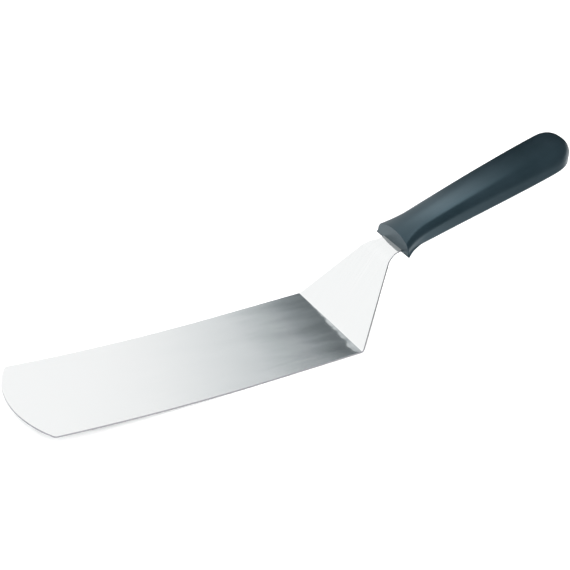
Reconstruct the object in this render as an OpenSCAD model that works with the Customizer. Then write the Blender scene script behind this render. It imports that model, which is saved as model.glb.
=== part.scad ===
// Offset spatula: a bowed stainless blade, a steep neck and a tang, all one bent sheet,
// with a moulded plastic handle on the tang. The origin is the centre of the flat stretch
// of the blade that it rests on, +X runs towards the handle and +Z is up.

/* [Blade] */
// Width of the blade
blade_w = 75; // [60:1:90]
// Length of the blade from the heel bend to the middle of the tip
blade_l = 214; // [150:1:260]
// How far the middle of the rounded tip stands out past its corners
tip_bulge = 12; // [6:0.5:20]
// Radius of the two tip corners
tip_corner_r = 2.5; // [1:0.5:6]
// Radius of the two corners at the heel
heel_corner_r = 4; // [2:0.5:8]
// Thickness of the sheet
sheet_t = 1; // [0.8:0.1:2]
// Length of the flat stretch next to the heel
land_l = 60; // [40:5:100]
// Radius of the blade's upward bow beyond the flat stretch
bow_r = 1450; // [1000:50:3000]

/* [Neck and tang] */
// Angle of the neck above the blade
neck_angle = 54; // [35:1:70]
// Length of the neck between its two bend lines
neck_l = 53.3; // [35:0.1:70]
// Angle that each side of the neck leans in by
neck_taper = 24.5; // [15:0.1:28]
// Inside radius of the bend at the heel
heel_bend_r = 2; // [1:0.5:5]
// Inside radius of the bend between neck and tang
tang_bend_r = 10; // [2:0.5:12]
// Angle of the tang and the handle above the blade
rise = 15.7; // [0:0.1:25]
// Width of the tang
tang_w = 20; // [14:1:21]
// Radius where the sides of the neck run into the tang
tang_corner_r = 8; // [2:1:12]
// Length of tang that shows in front of the handle
tang_show = 11.8; // [11:0.1:20]
// Length of tang inside the handle
tang_hidden = 80; // [50:1:95]
// Diameter of the holes in the tang that the handle is moulded through
key_d = 6; // [3:0.5:8]
// Distance of the first such hole from the front of the handle
key_start = 22; // [15:1:30]
// Distance between the holes
key_pitch = 36; // [20:1:40]

/* [Handle] */
// Length of the handle, measured along X
handle_l = 129.8; // [110:0.2:150]
// Width across the two flared feet at the front
foot_w = 37.6; // [34:0.2:40]
// Width of the front above the feet
front_w = 34.2; // [28:0.2:36]
// Height of the front face
front_h = 11.5; // [10:0.1:18]
// Width at the waist
waist_w = 25; // [23:0.1:27]
// Distance of the waist from the front
waist_at = 17; // [12:0.5:35]
// Width of the butt
butt_w = 31; // [27:0.1:34]
// Height of the butt, before its rounding
butt_h = 17.6; // [14:0.1:22]
// Length of the rounded butt end
butt_round = 18.6; // [14:0.1:24]
// How far the flared feet run back along the handle
foot_l = 13; // [6:0.5:30]
// How far the underside drops behind the front
belly = 1.9; // [1:0.1:5]
// How far the back arches up half way along
back_arch = 1.3; // [0:0.1:3]
// Radius of the arch across the top
crown_r = 34; // [24:1:40]
// Radius of the shoulders at the front
shoulder_r = 6.5; // [3:0.5:9]
// Radius of the shoulders round the butt
butt_shoulder_r = 13; // [5:0.5:14]
// Radius of the lower edges
under_r = 1.8; // [1:0.1:3]

/* [Hidden] */
steel = [0.83, 0.84, 0.85];
slate = [0.2, 0.26, 0.3];
// How far a cutting shape runs past its stock
spare = 20;
// Smoothness of the holes, and how many there are
key_facets = 48;
keys = 2;
// Thickness of plastic under the tang at the front of the handle
tang_cover = 0.6;

// The side profile starts at the heel, at the land's rear end
heel_x = land_l / 2;
bow_angle = (blade_l - land_l) / bow_r * 180 / PI;
// Line where the top faces of land and neck would meet
neck_x = heel_x + heel_bend_r * tan(neck_angle / 2);
// Line where the top faces of neck and tang would meet, and half the sheet's width there
tang_x = neck_x + neck_l * cos(neck_angle);
tang_z = sheet_t + neck_l * sin(neck_angle);
tang_half_w = blade_w / 2 - neck_l * tan(neck_taper);
// How far past that line the sides reach the tang's own width
taper_run = (tang_half_w - tang_w / 2) / tan(neck_taper);
turn = neck_angle - rise;

// Front of the handle, and the height of its lower edge there
face_x = tang_x + tang_show * cos(rise);
face_z = tang_z + tang_show * sin(rise) - sheet_t / cos(rise) - tang_cover;
butt_x = face_x + handle_l - butt_round;
// The butt's outline is a superellipse, a little squarer than an ellipse
butt_power = 0.75;
// How soon behind the front the underside reaches its full depth
belly_power = 9;
// Height over which the flared feet fade out
foot_fade = 4;
// Share of the handle's length before its shoulders start to grow
shoulder_from = 0.1;
// Radius of the lower edges at the very front, and how fast it grows from there
under_r_front = 0.5;
under_r_growth = 0.25;
// How strongly the steps along the handle crowd towards its front, and up its wall to the foot
side_crowd = 1.3;
wall_crowd = 1.5;

// Numbers of steps along the blade's bow, round its bends and its tip
bow_steps = 20;
bend_steps = 12;
tip_steps = 24;
// Numbers of steps along the handle, round the butt and up the sides
side_steps = 26;
butt_steps = 9;
under_steps = 3;
wall_steps = 5;
shoulder_steps = 6;
crown_steps = 4;

function clamp(a) = min(max(a, 0), 1);
function ease(a) = let (c = clamp(a)) c * c * (3 - 2 * c);
function mix(a, b, f) = a + (b - a) * f;

// An arc of radius r that rounds the corner at q between the lines to p and s
function round_corner(p, q, s, r, steps = 8) =
    let (u = (p - q) / norm(p - q), v = (s - q) / norm(s - q),
         half = acos(u * v) / 2,
         mid = (u + v) / norm(u + v),
         c = q + mid * r / sin(half),
         a = q + u * r / tan(half) - c,
         b = q + v * r / tan(half) - c,
         from = atan2(a.y, a.x),
         span = atan2(b.y, b.x) - from,
         sweep = span > 180 ? span - 360 : span < -180 ? span + 360 : span)
    [for (i = [0:steps]) c + r * [cos(from + sweep * i / steps), sin(from + sweep * i / steps)]];

// ---- blade, neck and tang ----

// v turned anticlockwise by a
function turned(v, a) = [v.x * cos(a) - v.y * sin(a), v.x * sin(a) + v.y * cos(a)];

function arc(c, r, from, to, steps) =
    [for (i = [0:steps]) let (a = from + (to - from) * i / steps) c + r * [cos(a), sin(a)]];

// A line along the bent sheet seen from the side, from the tip to the end of the tang,
// at the given depth below the top face
function side_line(depth) =
    let (bow_c = [heel_x - land_l, bow_r],
         heel_c = [heel_x, sheet_t + heel_bend_r],
         outer = tang_bend_r + sheet_t,
         tang_c = [tang_x, tang_z] + turned([outer * tan(turn / 2), -outer], rise))
    concat(arc(bow_c, bow_r - sheet_t + depth, -90 - bow_angle, -90, bow_steps),
           arc(heel_c, heel_bend_r + depth, -90, neck_angle - 90, bend_steps),
           arc(tang_c, outer - depth, 90 + neck_angle, 90 + rise, bend_steps),
           [[tang_x, tang_z] + turned([tang_show + tang_hidden, -depth], rise)]);

module side_profile() {
    top = side_line(0);
    under = side_line(sheet_t);
    polygon(concat(top, [for (i = [len(under) - 1:-1:0]) under[i]]));
}

// One side of the sheet's outline seen from above, from the tip to the end of the tang
function plan_half() =
    let (half = blade_w / 2,
         tip_x = heel_x - land_l - bow_r * sin(bow_angle),
         tip_r = (half * half + tip_bulge * tip_bulge) / (2 * tip_bulge),
         tip_span = asin((half - 2 * tip_corner_r) / tip_r),
         tip = arc([tip_x + tip_r, 0], tip_r, 180, 180 - tip_span, tip_steps),
         corner = [tip_x + tip_bulge, half],
         heel = [neck_x, half],
         bend = [tang_x, tang_half_w],
         tang = [tang_x + taper_run * cos(rise), tang_w / 2],
         end = [tang_x + (tang_show + tang_hidden + spare) * cos(rise), tang_w / 2])
    concat(tip, round_corner(tip[tip_steps], corner, heel, tip_corner_r),
           round_corner(corner, heel, bend, heel_corner_r), [bend],
           round_corner(bend, tang, end, tang_corner_r), [end]);

module plan_outline() {
    half = plan_half();
    polygon(concat(half, [for (i = [len(half) - 1:-1:1]) [half[i].x, -half[i].y]]));
}

// Holes across the tang, drawn in the tang's own frame from the front of the handle
module tang_keys() {
    for (i = [0:keys - 1]) translate([key_start + i * key_pitch, 0, -spare])
        cylinder(d = key_d, h = 2 * spare, $fn = key_facets);
}

// Puts its children at the middle of the tang's top face, at the front of the handle
module at_tang() {
    translate([face_x, 0, tang_z + tang_show * sin(rise)]) rotate([0, -rise, 0]) children();
}

module blade() color(steel) difference() {
    intersection() {
        translate([0, blade_w, 0]) rotate([90, 0, 0]) linear_extrude(2 * blade_w) side_profile();
        translate([0, 0, -spare]) linear_extrude(blade_l) plan_outline();
    }
    at_tang() tang_keys();
}

// ---- handle ----

function along(x) = (x - face_x) / handle_l;
function climb(x) = face_z + tan(rise) * (x - face_x);
function under_z(x) = climb(x) - belly * (1 - pow(1 - clamp(along(x)), belly_power));
function back_z(x) =
    let (u = along(x)) climb(x) + mix(front_h, butt_h, u) + back_arch * 4 * u * (1 - u);
function side_y(x) =
    let (front = 1 - clamp((x - face_x) / waist_at),
         rear = (x - face_x - waist_at) / (butt_x - face_x - waist_at))
    waist_w / 2 + (front_w - waist_w) / 2 * front * front + (butt_w - waist_w) / 2 * ease(rear);

// Stations round one side of the outline: x, half width, and the x they are measured in from
stations = concat(
    [for (i = [0:side_steps])
        let (x = mix(face_x, butt_x, pow(i / side_steps, side_crowd))) [x, side_y(x), x]],
    [for (i = [1:butt_steps])
        let (a = 90 * i / butt_steps, width = pow(max(cos(a), 0), butt_power))
        [butt_x + butt_round * pow(sin(a), butt_power), butt_w / 2 * width, butt_x]]);
last = len(stations) - 1;

// One section of the handle, from near the middle of the underside over the side to the top.
// The side wall runs into a shoulder arc, and that into the arch across the top.
function section(s) =
    let (out = [s[0] - s[2], s[1]], reach = norm(out), dir = out / reach, u = along(s[0]),
         top_r = mix(shoulder_r, butt_shoulder_r, ease((u - shoulder_from) / (1 - shoulder_from))),
         low_r = min(under_r, under_r_front + (s[0] - face_x) * under_r_growth),
         foot = (foot_w - front_w) / 2 * clamp(1 - (s[0] - face_x) / foot_l),
         low_z = under_z(s[0]),
         // Centre of the shoulder arc below the top of the arch, and where it meets the arch
         drop = crown_r - sqrt(pow(crown_r - top_r, 2) - pow(reach - top_r, 2)),
         meet = atan2(crown_r - drop, reach - top_r))
    concat(
        [let (r = (reach - low_r) / 2) point_at(s, dir, r, under_z(s[2] + dir.x * r), foot / 2)],
        [for (i = [0:under_steps]) let (a = 90 * i / under_steps)
            point_at(s, dir, reach - low_r * (1 - sin(a)), low_z + low_r * (1 - cos(a)), foot)],
        [for (i = [1:wall_steps])
            let (z = mix(low_z + low_r, back_z(s[0]) - drop, pow(i / wall_steps, wall_crowd)))
            point_at(s, dir, reach, z, foot * pow(clamp(1 - (z - low_z) / foot_fade), 2))],
        [for (i = [1:shoulder_steps])
            let (a = meet * i / shoulder_steps, r = reach - top_r * (1 - cos(a)))
            point_at(s, dir, r, back_z(s[2] + dir.x * r) - drop + top_r * sin(a), 0)],
        [for (i = [1:crown_steps - 1])
            let (r = crown_r * cos(meet) * (1 - i / crown_steps))
            let (z = back_z(s[2] + dir.x * r) - crown_r + sqrt(crown_r * crown_r - r * r))
            point_at(s, dir, r, z, 0)]);

// A point r out from the spine at height z, moved out sideways by foot
function point_at(s, dir, r, z, foot) = [s[2] + dir.x * r, dir.y * r + foot, z];

module handle_body() {
    half = [for (s = stations) section(s)];
    rows = len(half[0]);
    around = 2 * last + 1;
    // Row by row, from the front on the left round the butt to the front on the right
    shell = [for (k = [0:rows - 1]) for (i = [0:around - 1])
        let (p = half[min(i, 2 * last - i)][k]) i <= last ? p : [p.x, -p.y, p.z]];
    under = [for (i = [0:side_steps]) [stations[i][0], 0, under_z(stations[i][0])]];
    back = [for (i = [0:side_steps]) [stations[i][0], 0, back_z(stations[i][0])]];
    first_under = len(shell);
    first_back = first_under + len(under);
    quads = [for (k = [0:rows - 2]) for (i = [0:around - 2]) let (a = k * around + i, b = a + around)
        each [[a, a + 1, b + 1], [a, b + 1, b]]];
    // The front face, whose lowest edge has the points of the first two rows on it
    front = [for (k = [1:rows - 2]) let (a = k * around, b = a + around, c = b - 1, d = b + around - 1)
        each k > 1 ? [[a, b, d], [a, d, c]]
                   : [[0, a, b], [first_under, 0, b], [first_under, b, d], [around - 1, first_under, d],
                      [around - 1, d, c]]];
    // Strips that join the lowest and highest rows to the middle line
    strips = [for (i = [0:around - 2])
        let (p = min(i, 2 * last - i, side_steps), q = min(i + 1, 2 * last - i - 1, side_steps),
             top = (rows - 1) * around + i,
             low_p = first_under + p, low_q = first_under + q,
             back_p = first_back + p, back_q = first_back + q)
        each concat([[i + 1, i, low_p], [top, top + 1, back_p]],
                    p == q ? [] : [[i + 1, low_p, low_q], [top + 1, back_q, back_p]])];
    crown = [[(rows - 1) * around, first_back, rows * around - 1]];
    polyhedron(concat(shell, under, back), concat(quads, front, strips, crown));
}

module handle() color(slate) difference() {
    handle_body();
    at_tang() difference() {
        translate([-spare, -tang_w / 2, -sheet_t]) cube([spare + tang_hidden, tang_w, sheet_t]);
        tang_keys();
    }
}

blade();
handle();
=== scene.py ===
import math

import bmesh
import bpy
from mathutils import Matrix, Vector


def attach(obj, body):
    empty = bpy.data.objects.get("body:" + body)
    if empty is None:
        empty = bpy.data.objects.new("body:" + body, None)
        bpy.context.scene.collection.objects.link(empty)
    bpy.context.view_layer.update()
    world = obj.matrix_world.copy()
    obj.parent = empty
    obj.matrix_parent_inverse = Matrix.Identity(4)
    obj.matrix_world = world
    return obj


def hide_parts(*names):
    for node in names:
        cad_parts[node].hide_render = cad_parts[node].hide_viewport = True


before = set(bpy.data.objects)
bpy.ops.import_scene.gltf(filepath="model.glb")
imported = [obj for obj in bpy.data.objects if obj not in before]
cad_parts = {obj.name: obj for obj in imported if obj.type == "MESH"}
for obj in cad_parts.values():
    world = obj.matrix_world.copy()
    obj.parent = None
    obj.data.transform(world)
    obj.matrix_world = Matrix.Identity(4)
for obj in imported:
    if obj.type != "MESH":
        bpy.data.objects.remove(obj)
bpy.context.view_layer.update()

# An offset spatula. The origin is the centre of the flat stretch of blade that it rests
# on, +X runs towards the handle and +Z is up. Sizes are in millimetres until the meshes
# are made, and in metres after that.

MM = 0.001

# Sheet: blade, neck and tang
BLADE_W = 75
BLADE_L = 214
TIP_BULGE = 12
TIP_CORNER_R = 2.5
HEEL_CORNER_R = 4
SHEET_T = 1
LAND_L = 60
BOW_R = 1450
NECK_ANGLE = math.radians(54)
NECK_L = 53.3
NECK_TAPER = math.radians(24.5)
HEEL_BEND_R = 2
TANG_BEND_R = 10
RISE = math.radians(15.7)
TANG_W = 20
TANG_CORNER_R = 8
TANG_SHOW = 11.8
TANG_HIDDEN = 80
EDGE_R = 0.18

# Handle
HANDLE_L = 129.8
FOOT_W = 37.6
FRONT_W = 34.2
FRONT_H = 11.5
WAIST_W = 25
WAIST_AT = 17
BUTT_W = 31
BUTT_H = 17.6
BUTT_ROUND = 18.6
BUTT_POWER = 0.75
FOOT_L = 13
FOOT_FADE = 4
BELLY = 1.9
BELLY_POWER = 9
BACK_ARCH = 1.3
CROWN_R = 34
SHOULDER_R = 6.5
BUTT_SHOULDER_R = 13
SHOULDER_FROM = 0.1
UNDER_R = 1.8
UNDER_R_FRONT = 0.05
UNDER_R_GROWTH = 0.25
RIM_R = 0.35
TANG_COVER = 0.6

# Fineness: steps along each curve
CORNER_STEPS = 12
TANG_CORNER_STEPS = 16
TIP_STEPS = 30
BOW_STEPS = 60
FLAT_STEPS = 12
HEEL_BEND_STEPS = 12
TANG_BEND_STEPS = 16
EDGE_SEGMENTS = 3
SIDE_STEPS = 60
SIDE_CROWD = 1.3
BUTT_STEPS = 24
RIM_STEPS = 4
UNDER_STEPS = 4
UNDER_R_STEPS = 6
WALL_STEPS = 9
WALL_CROWD = 1.5
SHOULDER_STEPS = 12
CROWN_STEPS = 8
WELD = 1e-4

# Materials: lengths in metres. LINES and WAVES say how fast the noise changes along each
# axis, and FROM and TO are (x, share), between which the waves grow or the wear fades.
# Material slot of the cut edges, whose darker colour is painted shade
EDGE_SHADE_SLOT = 1
STEEL_LINES = (25, 1800, 1)
STEEL_WAVES = (14, 62, 1)
STEEL_DARK = (0.845, 0.86, 0.86)
STEEL_LIGHT = (0.875, 0.885, 0.885)
STEEL_ROUGHNESS = (0.15, 0.185)
STEEL_ANISOTROPY = 0.8
LINE_STRENGTH = 0.1
LINE_DEPTH = 0.00001
WAVE_DEPTH = 0.0004
WAVE_FROM = (-0.05, 0.3)
WAVE_TO = (0.015, 1.0)
WEAR_FROM = (0.0, 1.0)
WEAR_TO = (0.022, 0.45)
# Cut edge: rougher than the faces, and darkened with painted shade in place of a dark reflection
SHEARED_SHADE_DARK = (0.22, 0.22, 0.24)
SHEARED_SHADE_LIGHT = (0.32, 0.32, 0.34)
SHEARED_ROUGHNESS = (0.35, 0.5)
PLASTIC_DARK = (0.007, 0.014, 0.018)
PLASTIC_LIGHT = (0.010, 0.018, 0.023)
PLASTIC_ROUGHNESS = (0.28, 0.32)
PLASTIC_SPECULAR = 0.67
PLASTIC_TINT = (0.6, 0.86, 1.0, 1)
PLASTIC_CLOUD = 45
PLASTIC_GRAIN = 1800
GRAIN_STRENGTH = 0.2
GRAIN_DEPTH = 0.00004
FLOOR_WHITE = (0.93, 0.93, 0.93, 1)

# Studio: places in metres, light in parts of full white. A fade lists (place, light).
FLOOR_REACH = 12.0
FLOOR_Z = -0.0003
WORLD_WAY = (-0.4, 1, 0)
WORLD_TURN = (-0.35, 0.1)
WORLD_FRONT = 0.55
WORLD_BACK = 1.06
CEILING_X = (-0.5, 0.9)
CEILING_Y = (0.2, 1.2)
CEILING_Z = 0.5
CEILING_SLANT = 0.2
CEILING_FADE = [(-0.2, 1.07), (0.076, 1.05), (0.131, 1.0), (0.161, 0.93), (0.19, 0.82),
                (0.225, 0.635), (0.25, 0.455), (0.28, 0.3), (0.31, 0.2), (0.34, 0.14), (0.5, 0.1)]
CANOPY_X = (0.03, 0.45)
CANOPY_Y = (-0.04, 0.08)
CANOPY_Z = 0.15
CANOPY_FADE = [(0.03, 0.9), (0.085, 0.95), (0.095, 2.0), (0.108, 3.1), (0.122, 2.4), (0.137, 1.4),
               (0.152, 0.6), (0.17, 0.15), (0.19, 0.03), (0.45, 0.01)]
SHADE_REACH = (-0.2, 0.002)
SHADE_FADE = [(0.03, 0.1), (0.45, 0.08)]
APRON_Y = (-0.2, -0.05)
APRON_Z = 0.002
APRON_SLANT = 4.0
APRON_FADE = [(0.23, 1.5), (0.5, 1.5), (0.54, 1.2), (0.58, 0.7), (0.63, 0.25), (0.68, 0.3),
              (0.75, 0.45), (1.25, 0.45)]
FLAG_X = (0.13, 0.45)
FLAG_FADE = [(0.13, 0.6), (0.15, 0.3), (0.165, 0.1), (0.19, 0.02), (0.45, 0.01)]
DARK_TINT = (0.86, 1.0, 1.06)
LIGHT_DISTANCE = 5.0

# Camera
CAMERA_FOCUS = (-0.0041, 0, 0.0380)
CAMERA_DISTANCE = 0.9191
CAMERA_AZIMUTH = 270 - 31.78
CAMERA_ELEVATION = 32.145
CAMERA_ROLL = math.radians(2.62)
CAMERA_LENS = 95.51
CAMERA_SENSOR = 36

HEEL_X = LAND_L / 2
BOW_ANGLE = (BLADE_L - LAND_L) / BOW_R
NECK_X = HEEL_X + HEEL_BEND_R * math.tan(NECK_ANGLE / 2)
TANG_X = NECK_X + NECK_L * math.cos(NECK_ANGLE)
TANG_Z = SHEET_T + NECK_L * math.sin(NECK_ANGLE)
TANG_HALF_W = BLADE_W / 2 - NECK_L * math.tan(NECK_TAPER)
TAPER_RUN = (TANG_HALF_W - TANG_W / 2) / math.tan(NECK_TAPER)
TIP_X = HEEL_X - LAND_L - BOW_R * math.sin(BOW_ANGLE)
BEND_OUTER_R = TANG_BEND_R + SHEET_T
BEND_REACH = BEND_OUTER_R * math.tan((NECK_ANGLE - RISE) / 2)
BEND_X = TANG_X + BEND_REACH * math.cos(RISE) + BEND_OUTER_R * math.sin(RISE)
BEND_Z = TANG_Z + BEND_REACH * math.sin(RISE) - BEND_OUTER_R * math.cos(RISE)
FACE_X = TANG_X + TANG_SHOW * math.cos(RISE)
FACE_Z = TANG_Z + TANG_SHOW * math.sin(RISE) - SHEET_T / math.cos(RISE) - TANG_COVER
BUTT_X = FACE_X + HANDLE_L - BUTT_ROUND


def clamp(a):
    return min(max(a, 0.0), 1.0)


def ease(a):
    c = clamp(a)
    return c * c * (3 - 2 * c)


def mix(a, b, f):
    return a + (b - a) * f


def spread(first, last, steps, power=1.0):
    """Values from first to last, closer together at first when power is above 1."""
    return [mix(first, last, (i / steps) ** power) for i in range(steps + 1)]


def make_object(name, bm, node, materials):
    """Turns a bmesh in millimetres into a shown piece that stands for a CAD node."""
    bmesh.ops.scale(bm, vec=(MM, MM, MM), verts=bm.verts)
    bmesh.ops.recalc_face_normals(bm, faces=bm.faces)
    for face in bm.faces:
        face.smooth = True
    mesh = bpy.data.meshes.new(name)
    bm.to_mesh(mesh)
    bm.free()
    obj = bpy.data.objects.new(name, mesh)
    bpy.context.scene.collection.objects.link(obj)
    for material in materials:
        obj.data.materials.append(material)
    normals = obj.modifiers.new("normals", "WEIGHTED_NORMAL")
    normals.keep_sharp = True
    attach(obj, "root")
    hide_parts(node)
    return obj


# ---- blade, neck and tang: one bent sheet ----

def arc(centre, r, start, end, steps):
    return [centre + r * Vector((math.cos(a), math.sin(a))) for a in spread(start, end, steps)]


def round_corner(p, q, s, r, steps=CORNER_STEPS):
    """An arc of radius r that rounds the corner at q between the lines to p and s."""
    u = (p - q).normalized()
    v = (s - q).normalized()
    half = math.acos(u.dot(v)) / 2
    centre = q + (u + v).normalized() * r / math.sin(half)
    a = q + u * r / math.tan(half) - centre
    b = q + v * r / math.tan(half) - centre
    start = math.atan2(a.y, a.x)
    span = (math.atan2(b.y, b.x) - start + math.pi) % (2 * math.pi) - math.pi
    return arc(centre, r, start, start + span, steps)


def plan_half():
    """One side of the sheet's outline from above, from the tip to the end of the tang."""
    half = BLADE_W / 2
    tip_r = (half * half + TIP_BULGE * TIP_BULGE) / (2 * TIP_BULGE)
    tip_span = math.asin((half - 2 * TIP_CORNER_R) / tip_r)
    tip = arc(Vector((TIP_X + tip_r, 0)), tip_r, math.pi, math.pi - tip_span, TIP_STEPS)
    corner = Vector((TIP_X + TIP_BULGE, half))
    heel = Vector((NECK_X, half))
    bend = Vector((TANG_X, TANG_HALF_W))
    tang = Vector((TANG_X + TAPER_RUN * math.cos(RISE), TANG_W / 2))
    end = Vector((TANG_X + (TANG_SHOW + TANG_HIDDEN) * math.cos(RISE), TANG_W / 2))
    return (tip + round_corner(tip[-1], corner, heel, TIP_CORNER_R)
            + round_corner(corner, heel, bend, HEEL_CORNER_R) + [bend]
            + round_corner(bend, tang, end, TANG_CORNER_R, TANG_CORNER_STEPS) + [end])


def sheet_top(x):
    """The point of the sheet's top face for a place x in the outline, and its normal."""
    if x < HEEL_X - LAND_L:
        a = math.asin((HEEL_X - LAND_L - x) / BOW_R)
        normal = Vector((math.sin(a), 0, math.cos(a)))
        return Vector((x, 0, BOW_R - BOW_R * math.cos(a))) + normal * SHEET_T, normal
    if x <= HEEL_X:
        return Vector((x, 0, SHEET_T)), Vector((0, 0, 1))
    if x < HEEL_X + HEEL_BEND_R * math.sin(NECK_ANGLE):
        a = math.asin((x - HEEL_X) / HEEL_BEND_R)
        z = SHEET_T + HEEL_BEND_R * (1 - math.cos(a))
        return Vector((x, 0, z)), Vector((-math.sin(a), 0, math.cos(a)))
    if x < TANG_X - BEND_REACH * math.cos(NECK_ANGLE):
        z = SHEET_T + (x - NECK_X) * math.tan(NECK_ANGLE)
        return Vector((x, 0, z)), Vector((-math.sin(NECK_ANGLE), 0, math.cos(NECK_ANGLE)))
    if x < TANG_X + BEND_REACH * math.cos(RISE):
        a = math.acos((BEND_X - x) / BEND_OUTER_R)
        z = BEND_Z + BEND_OUTER_R * math.sin(a)
        return Vector((x, 0, z)), Vector((-math.cos(a), 0, math.sin(a)))
    z = TANG_Z + (x - TANG_X) * math.tan(RISE)
    return Vector((x, 0, z)), Vector((-math.sin(RISE), 0, math.cos(RISE)))


def sheet_cuts():
    """Places along X where the flat outline is cut across, so that it can be bent."""
    bow = spread(TIP_X, HEEL_X - LAND_L, BOW_STEPS)
    land = spread(HEEL_X - LAND_L, HEEL_X, FLAT_STEPS)
    heel_turn = spread(0, NECK_ANGLE, HEEL_BEND_STEPS)
    heel_bend = [HEEL_X + HEEL_BEND_R * math.sin(a) for a in heel_turn]
    tang_turn = spread(NECK_ANGLE, RISE, TANG_BEND_STEPS)
    tang_bend = [BEND_X - BEND_OUTER_R * math.sin(a) for a in tang_turn]
    neck = spread(heel_bend[-1], tang_bend[0], FLAT_STEPS)
    return bow[1:] + land[1:-1] + heel_bend + neck[1:-1] + tang_bend


def flat_sheet():
    """The outline as flat faces, cut across wherever the sheet will bend."""
    half = plan_half()
    outline = half + [Vector((p.x, -p.y)) for p in reversed(half[1:])]
    flat = bmesh.new()
    flat.faces.new([flat.verts.new((p.x, p.y, 0)) for p in outline])
    for x in sheet_cuts():
        everything = list(flat.verts) + list(flat.edges) + list(flat.faces)
        bmesh.ops.bisect_plane(flat, geom=everything, dist=1e-5, plane_co=(x, 0, 0),
                               plane_no=(1, 0, 0))
    flat.verts.index_update()
    return flat


def sheet_mesh():
    """The flat outline bent to shape, given its thickness and a slightly rounded edge."""
    flat = flat_sheet()
    bm = bmesh.new()
    upper = []
    lower = []
    for vert in flat.verts:
        top, normal = sheet_top(vert.co.x)
        top.y = vert.co.y
        upper.append(bm.verts.new(top))
        lower.append(bm.verts.new(top - normal * SHEET_T))
    for face in flat.faces:
        ring = [v.index for v in face.verts]
        bm.faces.new([upper[i] for i in ring])
        bm.faces.new([lower[i] for i in reversed(ring)])
    rim = set()
    for edge in flat.edges:
        if len(edge.link_faces) == 1:
            a, b = (v.index for v in edge.verts)
            wall = bm.faces.new([upper[a], upper[b], lower[b], lower[a]])
            # the cut edges take the edge material, whose darker colour is painted shade
            wall.material_index = EDGE_SHADE_SLOT
            rim.add(bm.edges.get((upper[a], upper[b])))
            rim.add(bm.edges.get((lower[a], lower[b])))
    flat.free()
    bmesh.ops.recalc_face_normals(bm, faces=bm.faces)
    bmesh.ops.bevel(bm, geom=list(rim), offset=EDGE_R, segments=EDGE_SEGMENTS, profile=0.5,
                    affect="EDGES", clamp_overlap=True)
    across = bm.loops.layers.uv.new("across")
    for face in bm.faces:
        for loop in face.loops:
            loop[across].uv = (loop.vert.co.y / BLADE_L, loop.vert.co.x / BLADE_L)
    return bm


# ---- handle: one moulding round the tang ----

def along(x):
    return (x - FACE_X) / HANDLE_L


def climb(x):
    return FACE_Z + math.tan(RISE) * (x - FACE_X)


def under_z(x):
    return climb(x) - BELLY * (1 - (1 - clamp(along(x))) ** BELLY_POWER)


def back_z(x):
    u = along(x)
    return climb(x) + mix(FRONT_H, BUTT_H, u) + BACK_ARCH * 4 * u * (1 - u)


def side_y(x):
    front = 1 - clamp((x - FACE_X) / WAIST_AT)
    rear = (x - FACE_X - WAIST_AT) / (BUTT_X - FACE_X - WAIST_AT)
    return (WAIST_W / 2 + (FRONT_W - WAIST_W) / 2 * front * front
            + (BUTT_W - WAIST_W) / 2 * ease(rear))


def section(x, y, base):
    """One section from near the middle of the underside over the side to the top.

    The point (x, y) is on the outline and base is the x that it is measured in from."""
    out = Vector((x - base, y))
    reach = out.length
    way = out / reach
    u = along(x)
    top_r = mix(SHOULDER_R, BUTT_SHOULDER_R, ease((u - SHOULDER_FROM) / (1 - SHOULDER_FROM)))
    low_r = min(UNDER_R, RIM_R + UNDER_R_FRONT + (x - FACE_X) * UNDER_R_GROWTH)
    foot = (FOOT_W - FRONT_W) / 2 * clamp(1 - (x - FACE_X) / FOOT_L)
    low_z = under_z(x)
    drop = CROWN_R - math.sqrt((CROWN_R - top_r) ** 2 - (reach - top_r) ** 2)
    meet = math.atan2(CROWN_R - drop, reach - top_r)

    def point(r, z, flare):
        return Vector((base + way.x * r, way.y * r + flare, z))

    rows = []
    for i in range(1, UNDER_STEPS):
        r = (reach - low_r) * i / UNDER_STEPS
        rows.append(point(r, under_z(base + way.x * r), foot * i / UNDER_STEPS))
    for a in spread(0, math.pi / 2, UNDER_R_STEPS):
        r = reach - low_r * (1 - math.sin(a))
        rows.append(point(r, low_z + low_r * (1 - math.cos(a)), foot))
    for z in spread(low_z + low_r, back_z(x) - drop, WALL_STEPS, WALL_CROWD)[1:]:
        rows.append(point(reach, z, foot * clamp(1 - (z - low_z) / FOOT_FADE) ** 2))
    for a in spread(0, meet, SHOULDER_STEPS)[1:]:
        r = reach - top_r * (1 - math.cos(a))
        rows.append(point(r, back_z(base + way.x * r) - drop + top_r * math.sin(a), 0))
    for i in range(1, CROWN_STEPS):
        r = CROWN_R * math.cos(meet) * (1 - i / CROWN_STEPS)
        rows.append(point(r, back_z(base + way.x * r) - CROWN_R + math.sqrt(CROWN_R ** 2 - r * r), 0))
    return rows


def inset(rows, by, x):
    """A section moved in by a distance along its own normals, to stand at x."""
    moved = []
    middle_low = Vector((0, 0, rows[0].z))
    middle_top = Vector((0, 0, rows[-1].z))
    line = [middle_low] + rows + [middle_top]
    for i in range(1, len(line) - 1):
        run = line[i + 1] - line[i - 1]
        inward = Vector((0, -run.z, run.y)).normalized()
        moved.append(Vector((x, line[i].y + inward.y * by, line[i].z + inward.z * by)))
    return moved


def handle_outline():
    """Places (x, y, base) along one side of the handle, the last on its middle line."""
    outline = [(x, side_y(x), x) for x in spread(FACE_X + RIM_R, BUTT_X, SIDE_STEPS, SIDE_CROWD)]
    for a in spread(0, math.pi / 2, BUTT_STEPS)[1:]:
        bulge = math.sin(a) ** BUTT_POWER
        width = max(math.cos(a), 0) ** BUTT_POWER
        outline.append((BUTT_X + BUTT_ROUND * bulge, BUTT_W / 2 * width, BUTT_X))
    return outline


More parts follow.
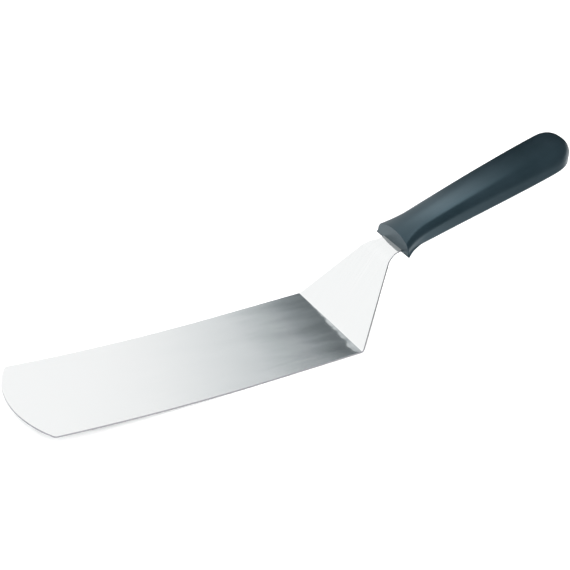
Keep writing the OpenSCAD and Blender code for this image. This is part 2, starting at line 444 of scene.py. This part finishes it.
def handle_mesh():
    """The sections of both sides joined into a closed skin, with a rounded front rim."""
    outline = handle_outline()
    sections = [section(*place) for place in outline]
    first = sections[0]
    rim = []
    for a in spread(0, math.pi / 2, RIM_STEPS)[:-1]:
        rim.append(inset(first, RIM_R * (1 - math.sin(a)), FACE_X + RIM_R * (1 - math.cos(a))))
    centres = [rows[0].x for rows in rim] + [place[2] for place in outline]
    bm = bmesh.new()
    rings = []
    for rows, centre in zip(rim + sections, centres):
        low = Vector((centre, 0, under_z(centre)))
        top = Vector((centre, 0, back_z(centre)))
        if centre < FACE_X + RIM_R:
            by = first[-1].z - rows[-1].z
            low.z += by
            top.z -= by
        left = [bm.verts.new(p) for p in rows]
        right = [bm.verts.new((p.x, -p.y, p.z)) for p in rows]
        rings.append([bm.verts.new(low)] + left + [bm.verts.new(top)] + right[::-1])
    for one, two in zip(rings, rings[1:]):
        count = len(one)
        for i in range(count):
            j = (i + 1) % count
            bm.faces.new([one[i], one[j], two[j], two[i]])
    bm.faces.new(rings[0][::-1])
    bmesh.ops.remove_doubles(bm, verts=bm.verts, dist=WELD)
    return bm


# ---- materials ----

def new_material(name):
    material = bpy.data.materials.new(name)
    material.use_nodes = True
    return material, material.node_tree.nodes, material.node_tree.links


def stretched_noise(nodes, links, scale, stretch, detail):
    """Noise in the object's own metres, with its coordinates scaled by stretch."""
    place = nodes.new("ShaderNodeTexCoord")
    mapping = nodes.new("ShaderNodeMapping")
    mapping.inputs["Scale"].default_value = stretch
    noise = nodes.new("ShaderNodeTexNoise")
    noise.inputs["Scale"].default_value = scale
    noise.inputs["Detail"].default_value = detail
    links.new(place.outputs["Object"], mapping.inputs["Vector"])
    links.new(mapping.outputs["Vector"], noise.inputs["Vector"])
    return noise.outputs["Fac"]


def remap(nodes, links, value, low, high, from_low=0.3, from_high=0.7):
    """Maps from_low to low and from_high to high, and holds those values beyond them."""
    node = nodes.new("ShaderNodeMapRange")
    node.inputs["From Min"].default_value = from_low
    node.inputs["From Max"].default_value = from_high
    node.inputs["To Min"].default_value = low
    node.inputs["To Max"].default_value = high
    links.new(value, node.inputs["Value"])
    return node.outputs["Result"]


def ramp(nodes, links, value, stops):
    node = nodes.new("ShaderNodeValToRGB")
    elements = node.color_ramp.elements
    while len(elements) < len(stops):
        elements.new(0.5)
    for element, (position, colour) in zip(elements, stops):
        element.position = position
        element.color = (*colour, 1)
    links.new(value, node.inputs["Fac"])
    return node.outputs["Color"]


def bump(nodes, links, value, strength, distance):
    node = nodes.new("ShaderNodeBump")
    node.inputs["Strength"].default_value = strength
    node.inputs["Distance"].default_value = distance
    links.new(value, node.inputs["Height"])
    return node.outputs["Normal"]


def steel_material():
    """Sheet steel brushed along X: fine lines, and slow waves left by the rolling.

    Wear has made it duller from the heel to the tip, and has flattened the waves there."""
    material, nodes, links = new_material("brushed_steel")
    shader = nodes["Principled BSDF"]
    shader.inputs["Metallic"].default_value = 1.0
    shader.inputs["Anisotropic"].default_value = STEEL_ANISOTROPY
    tangent = nodes.new("ShaderNodeTangent")
    tangent.direction_type = "UV_MAP"
    tangent.uv_map = "across"
    links.new(tangent.outputs["Tangent"], shader.inputs["Tangent"])
    lines = stretched_noise(nodes, links, 1, STEEL_LINES, 2)
    waves = stretched_noise(nodes, links, 1, STEEL_WAVES, 1.5)
    links.new(ramp(nodes, links, lines, [(0.3, STEEL_DARK), (0.7, STEEL_LIGHT)]),
              shader.inputs["Base Color"])
    place = nodes.new("ShaderNodeTexCoord")
    split = nodes.new("ShaderNodeSeparateXYZ")
    links.new(place.outputs["Object"], split.inputs["Vector"])
    wear = remap(nodes, links, split.outputs["X"], WEAR_FROM[1], WEAR_TO[1], WEAR_FROM[0],
                 WEAR_TO[0])
    worn = nodes.new("ShaderNodeMath")
    worn.operation = "MULTIPLY"
    links.new(remap(nodes, links, lines, *STEEL_ROUGHNESS), worn.inputs[0])
    links.new(wear, worn.inputs[1])
    links.new(worn.outputs["Value"], shader.inputs["Roughness"])
    rolled = bump(nodes, links, waves, 1.0, WAVE_DEPTH)
    strength = remap(nodes, links, split.outputs["X"], WAVE_FROM[1], WAVE_TO[1], WAVE_FROM[0],
                     WAVE_TO[0])
    links.new(strength, rolled.node.inputs["Strength"])
    brushed = bump(nodes, links, lines, LINE_STRENGTH, LINE_DEPTH)
    links.new(rolled, brushed.node.inputs["Normal"])
    links.new(brushed, shader.inputs["Normal"])
    return material


def sheared_shaded_material():
    """The cut edge of the sheet, duller than its faces. Its darker colour is painted shade, standing
    in for the dark reflection along the sheet's edge.
    """
    material, nodes, links = new_material("sheared_edge_painted_shade")
    shader = nodes["Principled BSDF"]
    shader.inputs["Metallic"].default_value = 1.0
    grit = stretched_noise(nodes, links, 1500, (1, 1, 1), 2)
    # painted shade: the edge's base colour is darkened in place of the dark reflection it shows
    links.new(ramp(nodes, links, grit, [(0.3, SHEARED_SHADE_DARK), (0.7, SHEARED_SHADE_LIGHT)]),
              shader.inputs["Base Color"])
    links.new(remap(nodes, links, grit, *SHEARED_ROUGHNESS), shader.inputs["Roughness"])
    return material


def plastic_material():
    """Moulded polypropylene with a satin surface and a fine grain."""
    material, nodes, links = new_material("matte_plastic")
    shader = nodes["Principled BSDF"]
    shader.inputs["Specular IOR Level"].default_value = PLASTIC_SPECULAR
    shader.inputs["Specular Tint"].default_value = PLASTIC_TINT
    cloud = stretched_noise(nodes, links, PLASTIC_CLOUD, (1, 1, 1), 3)
    grain = stretched_noise(nodes, links, PLASTIC_GRAIN, (1, 1, 1), 2)
    links.new(ramp(nodes, links, cloud, [(0.3, PLASTIC_DARK), (0.7, PLASTIC_LIGHT)]),
              shader.inputs["Base Color"])
    links.new(remap(nodes, links, cloud, *PLASTIC_ROUGHNESS, 0.2, 0.8), shader.inputs["Roughness"])
    links.new(bump(nodes, links, grain, GRAIN_STRENGTH, GRAIN_DEPTH), shader.inputs["Normal"])
    return material


def floor_material():
    material, nodes, _ = new_material("pale_floor")
    shader = nodes["Principled BSDF"]
    shader.inputs["Base Color"].default_value = FLOOR_WHITE
    shader.inputs["Roughness"].default_value = 0.9
    shader.inputs["Specular IOR Level"].default_value = 0.1
    return material


# ---- stage, light and camera ----

def direction(azimuth, elevation):
    """A unit vector at an azimuth from +X towards +Y and an elevation, in degrees."""
    a = math.radians(azimuth)
    e = math.radians(elevation)
    return Vector((math.cos(e) * math.cos(a), math.cos(e) * math.sin(a), math.sin(e)))


def make_floor():
    mesh = bpy.data.meshes.new("floor")
    ends = (-FLOOR_REACH, FLOOR_REACH)
    mesh.from_pydata(level_corners(ends, ends, FLOOR_Z), [], [(0, 1, 2, 3)])
    floor = bpy.data.objects.new("floor", mesh)
    bpy.context.scene.collection.objects.link(floor)
    mesh.materials.append(floor_material())


def make_world():
    """A studio that is white behind the object and grey in front of it."""
    world = bpy.data.worlds.new("studio")
    bpy.context.scene.world = world
    world.use_nodes = True
    nodes = world.node_tree.nodes
    links = world.node_tree.links
    place = nodes.new("ShaderNodeTexCoord")
    behind = nodes.new("ShaderNodeVectorMath")
    behind.operation = "DOT_PRODUCT"
    behind.inputs[1].default_value = WORLD_WAY
    links.new(place.outputs["Generated"], behind.inputs[0])
    share = remap(nodes, links, behind.outputs["Value"], 0.0, 1.0, *WORLD_TURN)
    stops = [(0.0, (WORLD_FRONT,) * 3), (1.0, (WORLD_BACK,) * 3)]
    links.new(ramp(nodes, links, share, stops), nodes["Background"].inputs["Color"])


def glow_panel(name, corners, fade, slant):
    """A panel that only reflections see. Its level follows a fade along X less slant * Y."""
    mesh = bpy.data.meshes.new(name)
    mesh.from_pydata(corners, [], [(0, 1, 2, 3)])
    panel = bpy.data.objects.new(name, mesh)
    bpy.context.scene.collection.objects.link(panel)
    material, nodes, links = new_material(name)
    nodes.remove(nodes["Principled BSDF"])
    glow = nodes.new("ShaderNodeEmission")
    place = nodes.new("ShaderNodeTexCoord")
    along_fade = nodes.new("ShaderNodeVectorMath")
    along_fade.operation = "DOT_PRODUCT"
    along_fade.inputs[1].default_value = (1, -slant, 0)
    links.new(place.outputs["Object"], along_fade.inputs[0])
    first = fade[0][0]
    last = fade[-1][0]
    share = remap(nodes, links, along_fade.outputs["Value"], 0.0, 1.0, first, last)
    stops = []
    for at, level in fade:
        tint = [mix(t, 1.0, clamp(level)) for t in DARK_TINT]
        stops.append(((at - first) / (last - first), tuple(level * t for t in tint)))
    links.new(ramp(nodes, links, share, stops), glow.inputs["Color"])
    links.new(glow.outputs["Emission"], nodes["Material Output"].inputs["Surface"])
    mesh.materials.append(material)
    panel.visible_camera = False
    panel.visible_diffuse = False
    panel.visible_shadow = False


def level_corners(x_range, y_range, z):
    """The corners of a level rectangle."""
    return [(x_range[i], y_range[j], z) for i, j in ((0, 0), (0, 1), (1, 1), (1, 0))]


def make_panels():
    """Soft panels that fade to dark towards +X, as reflected in the steel and the plastic.

    The blade reflects the ceiling, bright at the tip and dark at the heel. The canopy and
    the flag behind it do the same for the handle, bright at the front and dark at the butt.
    The shade in front keeps its near shoulder dark, and the apron just above the floor
    makes its near side darker towards the shoulder and the butt."""
    ceiling = level_corners(CEILING_X, CEILING_Y, CEILING_Z)
    glow_panel("ceiling", ceiling, CEILING_FADE, CEILING_SLANT)
    canopy = level_corners(CANOPY_X, CANOPY_Y, CANOPY_Z)
    glow_panel("canopy", canopy, CANOPY_FADE, 0)
    left, right = FLAG_X
    far = CANOPY_Y[1]
    flag = [(left, far, 0), (right, far, 0), (right, far, CANOPY_Z), (left, far, CANOPY_Z)]
    glow_panel("flag", flag, FLAG_FADE, 0)
    left, right = CANOPY_X
    near = CANOPY_Y[0]
    low_y, low_z = SHADE_REACH
    shade = [(left, near, CANOPY_Z), (right, near, CANOPY_Z), (right, low_y, low_z),
             (left, low_y, low_z)]
    glow_panel("shade", shade, SHADE_FADE, 0)
    glow_panel("apron", level_corners(CANOPY_X, APRON_Y, APRON_Z), APRON_FADE, APRON_SLANT)


def area_light(name, azimuth, elevation, size, power):
    """A square soft light that lights the object but isn't seen in its reflections."""
    data = bpy.data.lights.new(name, "AREA")
    data.shape = "SQUARE"
    data.size = size
    data.energy = power
    light = bpy.data.objects.new(name, data)
    way = direction(azimuth, elevation)
    light.location = way * LIGHT_DISTANCE
    light.rotation_mode = "QUATERNION"
    light.rotation_quaternion = way.to_track_quat("Z", "Y")
    light.visible_glossy = False
    bpy.context.scene.collection.objects.link(light)


def make_camera():
    """The camera stands where the photograph was taken from, on the blade's side."""
    back = direction(CAMERA_AZIMUTH, CAMERA_ELEVATION)
    level = Vector((-back.y, back.x, 0)).normalized()
    right = level * math.cos(CAMERA_ROLL) + back.cross(level) * math.sin(CAMERA_ROLL)
    up = back.cross(right)
    data = bpy.data.cameras.new("camera")
    data.sensor_width = CAMERA_SENSOR
    data.lens = CAMERA_LENS
    camera = bpy.data.objects.new("camera", data)
    bpy.context.scene.collection.objects.link(camera)
    turn = Matrix((right, up, back)).transposed().to_4x4()
    place = Vector(CAMERA_FOCUS) + back * CAMERA_DISTANCE
    camera.matrix_world = Matrix.Translation(place) @ turn
    bpy.context.scene.camera = camera


make_object("blade_sheet", sheet_mesh(), "blade",
            [steel_material(), sheared_shaded_material()])
make_object("handle_moulding", handle_mesh(), "handle",
            [plastic_material()])
make_floor()
make_world()
make_panels()
area_light("key", azimuth=120, elevation=78, size=6.0, power=200)
area_light("fill", azimuth=255, elevation=30, size=5.0, power=320)
make_camera()
bpy.context.scene.view_settings.view_transform = "Standard"
